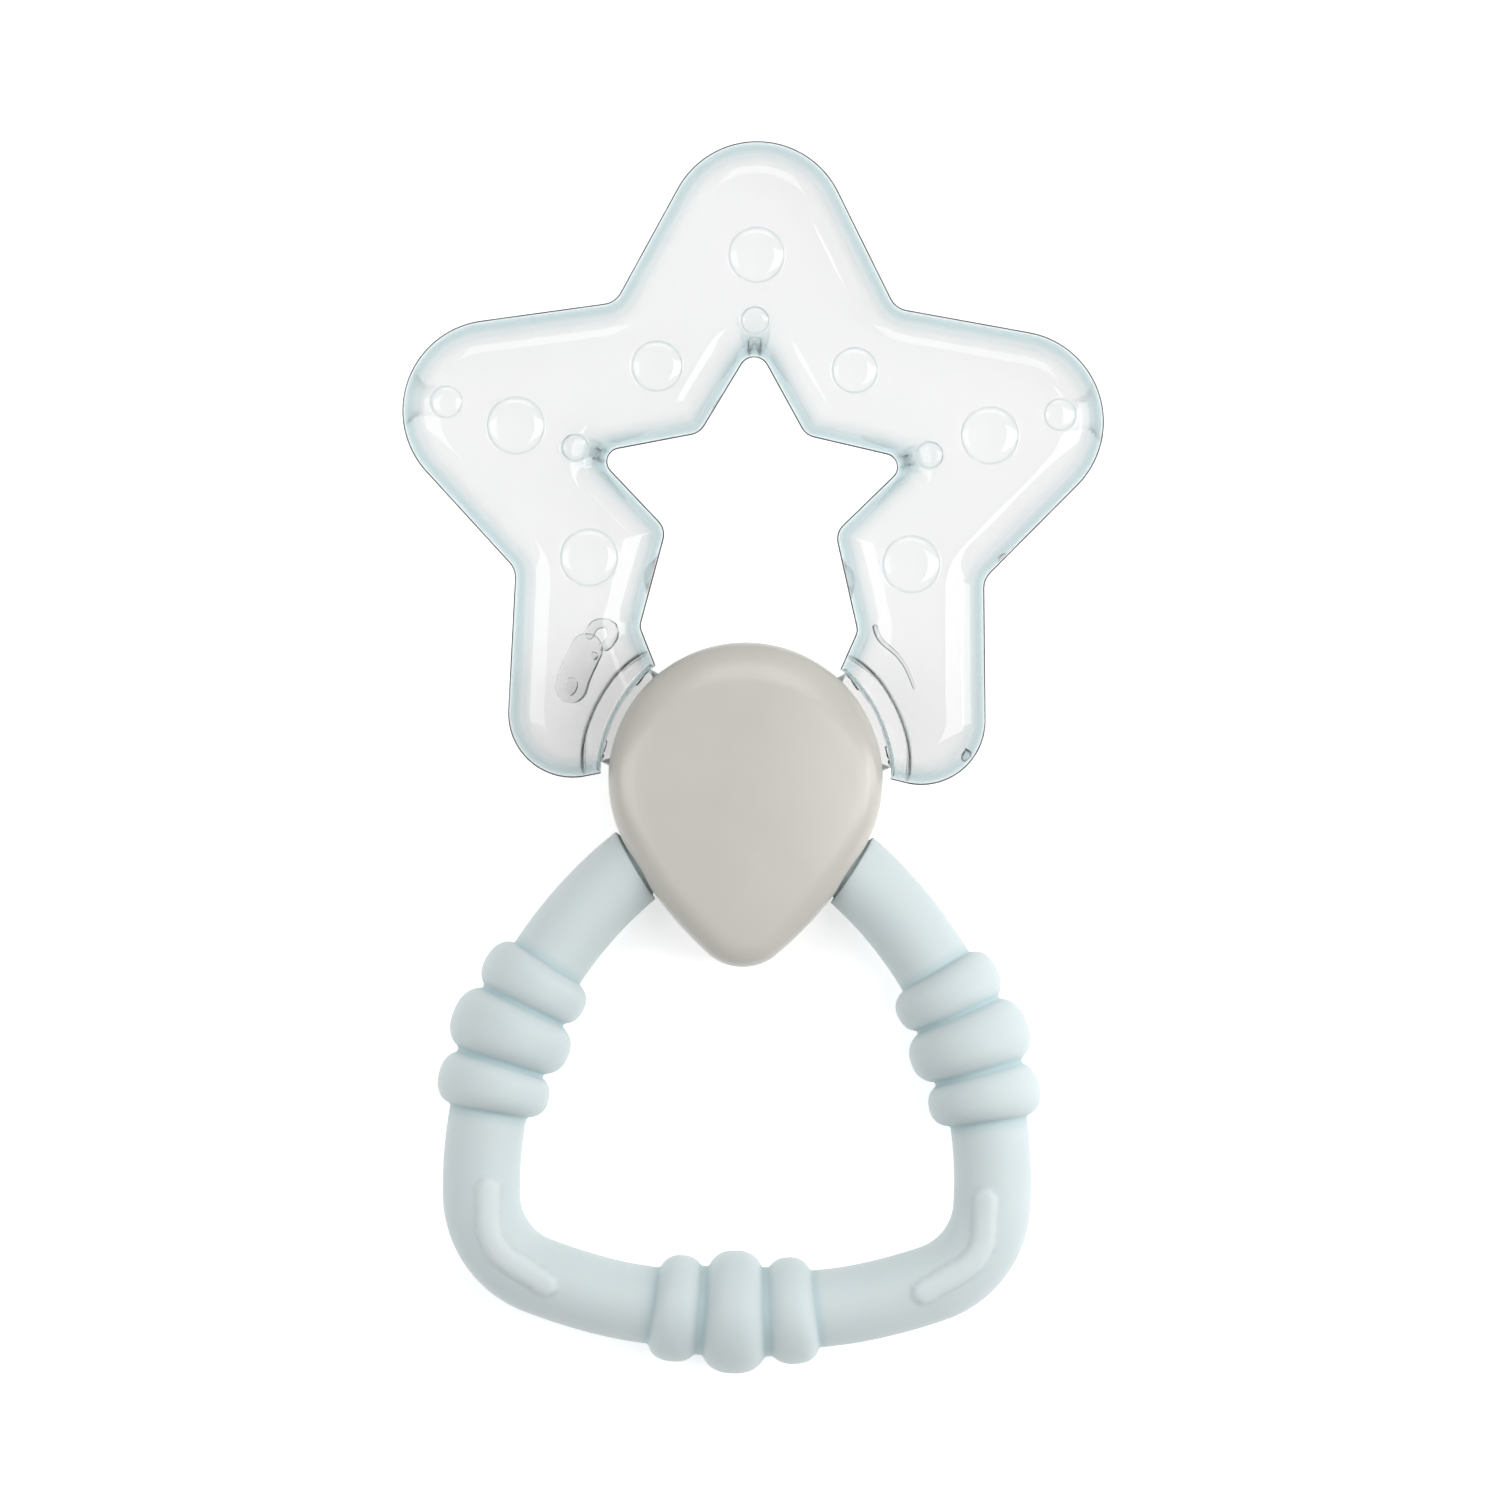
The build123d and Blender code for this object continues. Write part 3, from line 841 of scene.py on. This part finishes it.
room_top = PARTING_Z + STAR_HALF - STAR_WALL
LARGE_BUBBLE = [(-18.2, 13.7), (-19.5, 10.8), (-20.6, 8.2), (-20.9, 5.6)]
HOOK_BUBBLE = [(-18.9, 13.3), (-18.2, 15.0), (-16.4, 15.2), (-16.0, 13.4), (-17.1, 11.9)]
THREAD_BUBBLE = [(14.9, 15.6), (15.5, 13.7), (17.8, 11.9), (18.9, 10.0), (19.6, 8.1)]
bubbles = [
    bubble(LARGE_BUBBLE, 1.95, 0.5, room_top - 0.7),
    bubble([(-19.9, 7.3), (-20.6, 7.5), (-21.6, 7.5)], 1.2, 0.4, room_top - 1.9),
    bubble(HOOK_BUBBLE, 0.62, 0.4, room_top - 1.9),
    bubble([(-17.6, 11.5), (-17.9, 11.2), (-18.3, 10.9)], 0.6, 0.35, room_top - 1.9),
    bubble(THREAD_BUBBLE, 0.36, 0.3, room_top - 0.6, 0.55),
    bubble([(28.6, 23.8), (29.2, 24.1), (29.0, 24.9)], 0.7, 0.6, PARTING_Z + 1.5),
    bubble([(24.6, 1.2), (25.1, 1.0), (25.6, 1.4)], 0.75, 0.6, PARTING_Z + 1.5),
]
water_points, water_faces = room_surface(STAR_WALL, 0.04)
star_water = make_object(
    "star_water_fill",
    [(water_points, water_faces, 0), *[(p, f, 1) for p, f in bubbles]],
    [water_look, bubble_look],
)
star_water.visible_shadow = False  # the star's shadow is its shell's
place(star_water, "water", "star_water")


# ---- Joiner -------------------------------------------------------------------


def joiner_loop(inset):
    """The joiner's outline, moved inward, always with the same number of points."""
    flank_centre = polar(joiner_centre, HEAD_R - FLANK_R, HEAD_END)
    tip_centre = polar(flank_centre, FLANK_R - TIP_R, FLANK_END)
    pieces = []
    for centre, radius, start, stop in (
        (joiner_centre, HEAD_R, 90, HEAD_END),
        (flank_centre, FLANK_R, HEAD_END, FLANK_END),
        (tip_centre, TIP_R, FLANK_END, -90),
    ):
        count = math.ceil(abs(math.radians(stop - start)) * radius / 0.4)
        turns = np.linspace(start, stop, count, endpoint=False)
        pieces.append(np.array([polar(centre, radius - inset, t) for t in turns]))
    right = np.vstack(pieces)
    tip = np.array([(0.0, tip_centre[1] - TIP_R + inset)])
    return np.vstack([right, tip, right[:0:-1] * (-1, 1)])


def strip(first, count, stride):
    """Faces between two rings of points, the second one stride after the first."""
    return [
        (first + i, first + (i + 1) % count, first + stride + (i + 1) % count, first + stride + i)
        for i in range(count)
    ]


def cover_height(p, outline, height, wall, crown):
    """Height of a cover above the parting plane: a steep rim, a soft shoulder and a crowned face."""
    d = depth(p, outline)
    rise = np.clip((p[:, 1] - JOINER_Y - 1.0) / (HEAD_R - 1.0), 0, 1)
    width = 3.0 + 3.2 * rise * rise * (3 - 2 * rise)
    centre_y = JOINER_Y - 1.5
    fall = crown * (p[:, 0] ** 2 / 16.0**2 + (p[:, 1] - centre_y) ** 2 / 19.0**2)
    top = height - fall
    t = np.clip(1 - d / width, 0, 1)
    return wall + (top - wall) * (1 - t**COVER_POWER) ** (1 / COVER_POWER)


def build_cover(name, side, height, wall, crown):
    """A joiner cover as a closed shell with a rim that meets its partner."""
    outline = joiner_loop(0.0)
    inner = joiner_loop(JOINER_WALL)
    count = len(outline)
    rings = list(quarter_rings(6.4, COVER_POWER, 16))
    points = np.vstack([ring_points(outline, rings), grid_points(outline, 0.8, 6.8)])
    flat, faces, on_loop = triangulate(outline, points)
    if signed_area(flat[list(faces[0])]) < 0:
        faces = [f[::-1] for f in faces]
    z = cover_height(flat, outline, height, wall, crown)
    z[on_loop] = wall
    parts = [(np.column_stack([flat, z]), faces)]
    levels = [(outline, wall), (outline, wall * 0.66), (outline, wall * 0.33), (outline, RIM_CHAMFER)]
    levels += [(joiner_loop(RIM_CHAMFER), 0.0), (inner, 0.0)]
    levels += [(inner, height - JOINER_WALL - CEILING_STEP)]
    ceiling_loop = joiner_loop(JOINER_WALL + CEILING_STEP)
    levels += [(ceiling_loop, height - JOINER_WALL)]
    wall_points = np.vstack([np.column_stack([loop, np.full(count, z)]) for loop, z in levels])
    wall_faces = []
    for i in range(len(levels) - 1):
        wall_faces += strip(i * count, count, count)
    parts.append((wall_points, wall_faces))
    ceiling, ceiling_faces, _ = triangulate(ceiling_loop, grid_points(ceiling_loop, 2.0, 1.0))
    if signed_area(ceiling[list(ceiling_faces[0])]) > 0:
        ceiling_faces = [f[::-1] for f in ceiling_faces]
    ceiling_z = np.full(len(ceiling), height - JOINER_WALL)
    parts.append((np.column_stack([ceiling, ceiling_z]), ceiling_faces))
    placed = []
    for points, polygons in parts:
        points = points * (1, 1, side) + (0, 0, PARTING_Z)
        placed.append((points, [f[::-1] for f in polygons] if side < 0 else polygons, 0))
    piece = make_object(name, placed, [joiner_look])
    weld(piece)
    return piece


def weld(piece):
    """Joins points that coincide and turns every face outward."""
    bm = bmesh.new()
    bm.from_mesh(piece.data)
    bmesh.ops.remove_doubles(bm, verts=bm.verts, dist=1e-6)
    bmesh.ops.recalc_face_normals(bm, faces=bm.faces)
    bm.to_mesh(piece.data)
    bm.free()


# ---- Handle ring --------------------------------------------------------------


class RingPath:
    """The middle line of the right half of the ring, from its bottom to its top."""

    def __init__(self):
        bottom_centre = (0.0, BOTTOM_Y + BOTTOM_R)
        turn = -90 + BOTTOM_TURN
        corner_centre = polar(bottom_centre, BOTTOM_R - CORNER_R, turn)
        side_turn = turn + CORNER_TURN
        side_centre = polar(corner_centre, CORNER_R - SIDE_R, side_turn)
        rise = math.sqrt((SIDE_R - TOP_R) ** 2 - side_centre[0] ** 2)
        top_turn = math.degrees(math.atan2(rise, -side_centre[0]))
        top_centre = (0.0, side_centre[1] + rise)
        self.arcs = [
            (bottom_centre, BOTTOM_R, -90, turn),
            (corner_centre, CORNER_R, turn, side_turn),
            (side_centre, SIDE_R, side_turn, top_turn),
            (top_centre, TOP_R, top_turn, 90),
        ]
        self.lengths = [math.radians(b - a) * r for _, r, a, b in self.arcs]
        self.length = sum(self.lengths)

    def at(self, s):
        """Point and outward direction at a distance along the path."""
        for (centre, radius, start, _), length in zip(self.arcs, self.lengths):
            if s <= length or centre == self.arcs[-1][0]:
                turn = start + math.degrees(s / radius)
                return np.array(polar(centre, radius, turn)), np.array(polar((0, 0), 1, turn))
            s -= length

    def nearest(self, x, y):
        steps = np.linspace(0, self.length, 4000)
        places = np.array([self.at(s)[0] for s in steps])
        return steps[np.hypot(places[:, 0] - x, places[:, 1] - y).argmin()]


path = RingPath()
MOUTH_LOW_Y = -24.0
NECK_DEPTH = 0.7
NECK_GAP = 0.3
mouth_start = path.nearest(17.0, -19.5)
MOUTH_SPAN = (mouth_start, mouth_start + 12.5)


def soft_max(a, b, blend):
    """The larger of two heights, with a fillet where they cross."""
    h = np.clip(0.5 + 0.5 * (a - b) / blend, 0, 1)
    return b + (a - b) * h + blend * h * (1 - h)


def bar_profile(s, beads, groups):
    """Radius of the bar along the path, with its beads."""
    r = np.full(len(s), BAR_R)
    for low, high in groups:
        core = np.where((s > low) & (s < high), BEAD_CORE_R, BAR_R - 1)
        r = np.maximum(r, core)
    for middle, (width, radius) in beads:
        t = np.clip((s - middle) / (width / 2), -1, 1)
        round_over = (1 - np.abs(t) ** BEAD_POWER) ** (1 / BEAD_POWER)
        disc = radius - width / 2 + width / 2 * round_over
        disc = np.where(np.abs(s - middle) < width / 2, disc, BAR_R - 2)
        r = soft_max(disc, r, BEAD_FILLET)
    return r


def ring_stations():
    """Even steps along the bar's own profile, so that steep beads get as many as flat runs."""
    side = [(path.nearest(x, y), bead) for x, y, bead in SIDE_BEADS]
    beads = BOTTOM_BEADS + side
    groups = [(-BOTTOM_BEADS[-1][0], BOTTOM_BEADS[-1][0])]
    ends = [s for s, _ in side]
    groups.append((min(ends), max(ends)))
    fine = np.linspace(0, path.length, 12000)
    radius = bar_profile(fine, beads, groups)
    run = np.concatenate([[0], np.cumsum(np.hypot(np.diff(fine), np.diff(radius)))])
    even = np.linspace(0, run[-1], math.ceil(run[-1] / 0.36))
    s = np.interp(even, run, fine)
    mouth = np.arange(*MOUTH_SPAN, 0.09)
    s = np.sort(np.concatenate([s[(s < mouth[0]) | (s > mouth[-1])], mouth]))
    return s, np.interp(s, fine, radius)


def neck(p):
    """How far the bar is cut down where it nears the joiner, which leaves a dark gap there."""
    return NECK_DEPTH * np.clip((depth(p, joiner_loop(0.0)) + NECK_GAP) / 0.12, 0, 1)


def rib_line():
    corners = np.array(RIB_POINTS)
    return rounded_loop(corners, [0, RIB_BEND_R, 0], closed=False)


def line_distance(p, line):
    return np.sqrt(((p[:, None, :] - line[None]) ** 2).sum(2).min(1))


SECTION = 72


def section_angles():
    """Directions round the bar, with extra ones at the parting line on both sides."""
    even = np.linspace(0, 360, SECTION, endpoint=False)
    extra = [a + e for a in (0, 180) for e in (-2.2, -1.1, 1.1, 2.2)]
    return np.radians(np.sort(np.unique(np.concatenate([even, np.mod(extra, 360)]))))


def tube(stations, radii, angles):
    """A closed ring of round sections along both halves of the path."""
    rows = []
    painted_lights = []
    line = rib_line()
    for s, r, hollow in zip(stations, radii, hollows(stations, radii)):
        centre, out = path.at(s)
        centre = centre + np.array([0, BOTTOM_LIFT * math.exp(-((s / BOTTOM_LIFT_REACH) ** 4))])
        reach = np.cos(angles)[:, None] * out * r
        row = np.column_stack([centre + reach, np.sin(angles) * r])
        row, raised = add_details(row, centre, angles, line)
        # Painted light on the handle: darker in the hollows (painted shade), lighter on the raised ribs
        # (painted highlight).
        painted_lights.append(np.clip(0.5 - hollow / 2 + raised / 2, 0, 1))
        rows.append(row)
    other = [row * (-1, 1, 1) for row in rows[-2:0:-1]]
    painted_lights += painted_lights[-2:0:-1]
    every = np.array(rows + other)
    count, around = every.shape[:2]
    points = every.reshape(-1, 3) + (0, 0, PARTING_Z)
    faces = []
    for i in range(count):
        faces += strip(i * around, around, ((i + 1) % count - i) * around)
    return points, faces, np.array(painted_lights).ravel()


def hollows(stations, radii):
    """How far each section lies below the bar around it, from 0 to 1, which sets the painted shade in
    the hollows.
    """
    wide = [np.mean(radii[np.abs(stations - s) < HOLLOW_REACH]) for s in stations]
    return np.clip((np.array(wide) - radii) / HOLLOW_DEPTH, 0, 1)


def add_details(row, centre, angles, line):
    """The ribs on both faces and the fine parting line round the sides."""
    distance = line_distance(row[:, :2], line)
    t = np.clip(distance / RIB_HALF_WIDTH, 0, 1)
    lift = RIB_PROUD * (1 - t**4) ** 0.6 * np.clip(np.abs(np.sin(angles)) * 2 - 0.6, 0, 1)
    near = np.degrees(np.abs(np.arcsin(np.sin(angles))))
    lift = lift + 0.05 * np.clip(1 - near / 1.1, 0, 1)
    outward = row - np.array([centre[0], centre[1], 0])
    outward /= np.linalg.norm(outward, axis=1)[:, None]
    # How far the rib stands out, which sets the painted highlight on the ribs.
    raised = np.clip(lift / RIB_PROUD, 0, 1)
    if centre[1] > MOUTH_LOW_Y:
        lift = lift - neck(row[:, :2])
    return row + outward * lift[:, None], raised


stations, radii = ring_stations()
handle_points, handle_faces, handle_painted_light = tube(stations, radii, section_angles())
handle = make_object("grip_ring", [(handle_points, handle_faces, 0)], [handle_look])
painted_light = handle.data.attributes.new(PAINTED_LIGHT, "FLOAT", "POINT")
painted_light.data.foreach_set("value", handle_painted_light.astype(np.float32))
weld(handle)
place(handle, "handle_blue", "handle_ring")


# ---- Joiner openings ----------------------------------------------------------


def seat_cutter():
    """The bar's seat in the joiner, with a mouth that flares at the rim."""
    steps = np.linspace(path.length - 26, path.length, 80)
    places = np.array([path.at(s)[0] for s in steps])
    inside = depth(places, joiner_loop(0.0))
    flare = np.clip((SEAT_FLARE_DEPTH - inside) / SEAT_FLARE_DEPTH, 0, 1)
    radii = BAR_R + SEAT_CLEAR + SEAT_FLARE * flare**2
    angles = np.radians(np.linspace(0, 360, 64, endpoint=False))
    rows = []
    for s, r in zip(steps, radii):
        centre, out = path.at(s)
        reach = np.cos(angles)[:, None] * out * r
        rows.append(np.column_stack([centre + reach, np.sin(angles) * r]))
    rows += [row * (-1, 1, 1) for row in rows[-2::-1]]
    count, around = len(rows), len(angles)
    points = np.vstack(rows) + (0, 0, PARTING_Z)
    faces = []
    for i in range(count - 1):
        faces += strip(i * around, around, around)
    faces.append(tuple(range(around))[::-1])
    faces.append(tuple(range((count - 1) * around, count * around)))
    cutter = make_object("seat_cutter", [(points, faces, 0)], [])
    weld(cutter)
    return cutter


def tongue_cutter(angle):
    """The slot in the joiner's rim for one tongue."""
    axis = direction(angle)
    side = np.array([-axis[1], axis[0]]) * (TONGUE_HALF_WIDTH + SLOT_CLEAR)
    near = np.array(joiner_centre) + axis * 11.0
    far = np.array(joiner_centre) + axis * TONGUE_OUT
    base = [near - side, far - side, far + side, near + side]
    rise = TONGUE_HALF + SLOT_CLEAR
    points = [(*p, PARTING_Z - rise) for p in base] + [(*p, PARTING_Z + rise) for p in base]
    faces = [(3, 2, 1, 0), (4, 5, 6, 7), (0, 1, 5, 4), (1, 2, 6, 5), (2, 3, 7, 6), (3, 0, 4, 7)]
    cutter = make_object("tongue_cutter", [(points, faces, 0)], [])
    weld(cutter)
    return cutter


def carve(piece, cutters):
    for cutter in cutters:
        cut = piece.modifiers.new("cut", "BOOLEAN")
        cut.operation = "DIFFERENCE"
        cut.solver = "EXACT"
        cut.object = cutter
    bpy.context.view_layer.update()
    graph = bpy.context.evaluated_depsgraph_get()
    mesh = bpy.data.meshes.new_from_object(piece.evaluated_get(graph), depsgraph=graph)
    piece.modifiers.clear()
    piece.data = mesh
    mesh.set_sharp_from_angle(angle=math.radians(38))


front_cover = build_cover("joiner_front", 1, FRONT_HEIGHT, SIDE_HEIGHT, FRONT_CROWN)
back_cover = build_cover("joiner_back", -1, BACK_HEIGHT, SIDE_HEIGHT, 0.0)
cutters = [seat_cutter(), tongue_cutter(TONGUE_ANGLE), tongue_cutter(180 - TONGUE_ANGLE)]
for cover, node in ((front_cover, "joiner_front_cover"), (back_cover, "joiner_back_cover")):
    carve(cover, cutters)
    place(cover, "joiner_grey", node)
for cutter in cutters:
    bpy.data.objects.remove(cutter)

for node in ("fill_plug", "vent_plug"):
    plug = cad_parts[node]
    plug.data.materials.clear()
    plug.data.materials.append(joiner_look)


# ---- Floor, light and camera --------------------------------------------------

bpy.ops.mesh.primitive_plane_add(size=8)
floor = bpy.context.object
floor.name = "floor"
floor.data.materials.append(floor_paint())

SKY_LEVEL = 0.36
SKY_THROUGH_CLEAR = 0.28  # less light comes sideways through clear parts, which darkens their edges
world = bpy.data.worlds.new("studio")
bpy.context.scene.world = world
world.use_nodes = True
world.node_tree.nodes["Background"].inputs[0].default_value = (1, 1, 1, 1)
sky = world.node_tree.nodes["Background"].inputs[1]
bent = world.node_tree.nodes.new("ShaderNodeLightPath").outputs["Is Transmission Ray"]
sky_level = world.node_tree.nodes.new("ShaderNodeMapRange")
sky_level.inputs["To Min"].default_value = SKY_LEVEL
sky_level.inputs["To Max"].default_value = SKY_THROUGH_CLEAR
world.node_tree.links.new(bent, sky_level.inputs["Value"])
world.node_tree.links.new(sky_level.outputs["Result"], sky)


def soft_light(name, at, size, power):
    lamp = bpy.data.lights.new(name, "AREA")
    lamp.shape = "RECTANGLE"
    lamp.size, lamp.size_y = size
    lamp.energy = power
    holder = bpy.data.objects.new(name, lamp)
    holder.location = at
    holder.rotation_euler = (-Vector(at)).to_track_quat("-Z", "Y").to_euler()
    holder.visible_transmission = False
    bpy.context.scene.collection.objects.link(holder)


soft_light("key", (0.48, 0.0, 0.66), (0.34, 0.8), 2.9)
soft_light("rim", (0.8, 0.1, 0.24), (0.3, 0.6), 2.0)
soft_light("fill", (-0.52, 0.0, 0.62), (0.3, 0.7), 1.6)
soft_light("overhead", (0.05, 0.75, 0.95), (0.9, 0.5), 3.0)

CAMERA_HEIGHT = 2.4
FIELD_WIDTH = 0.1764
camera_data = bpy.data.cameras.new("camera")
camera_data.sensor_width = 36
camera_data.lens = 36 * (CAMERA_HEIGHT - PARTING_Z * MM) / FIELD_WIDTH
camera = bpy.data.objects.new("camera", camera_data)
camera.location = (0.00045, 0.00056, CAMERA_HEIGHT)
camera.rotation_euler = (0, 0, math.radians(1.2))
bpy.context.scene.collection.objects.link(camera)
bpy.context.scene.camera = camera
bpy.context.scene.view_settings.view_transform = "Standard"
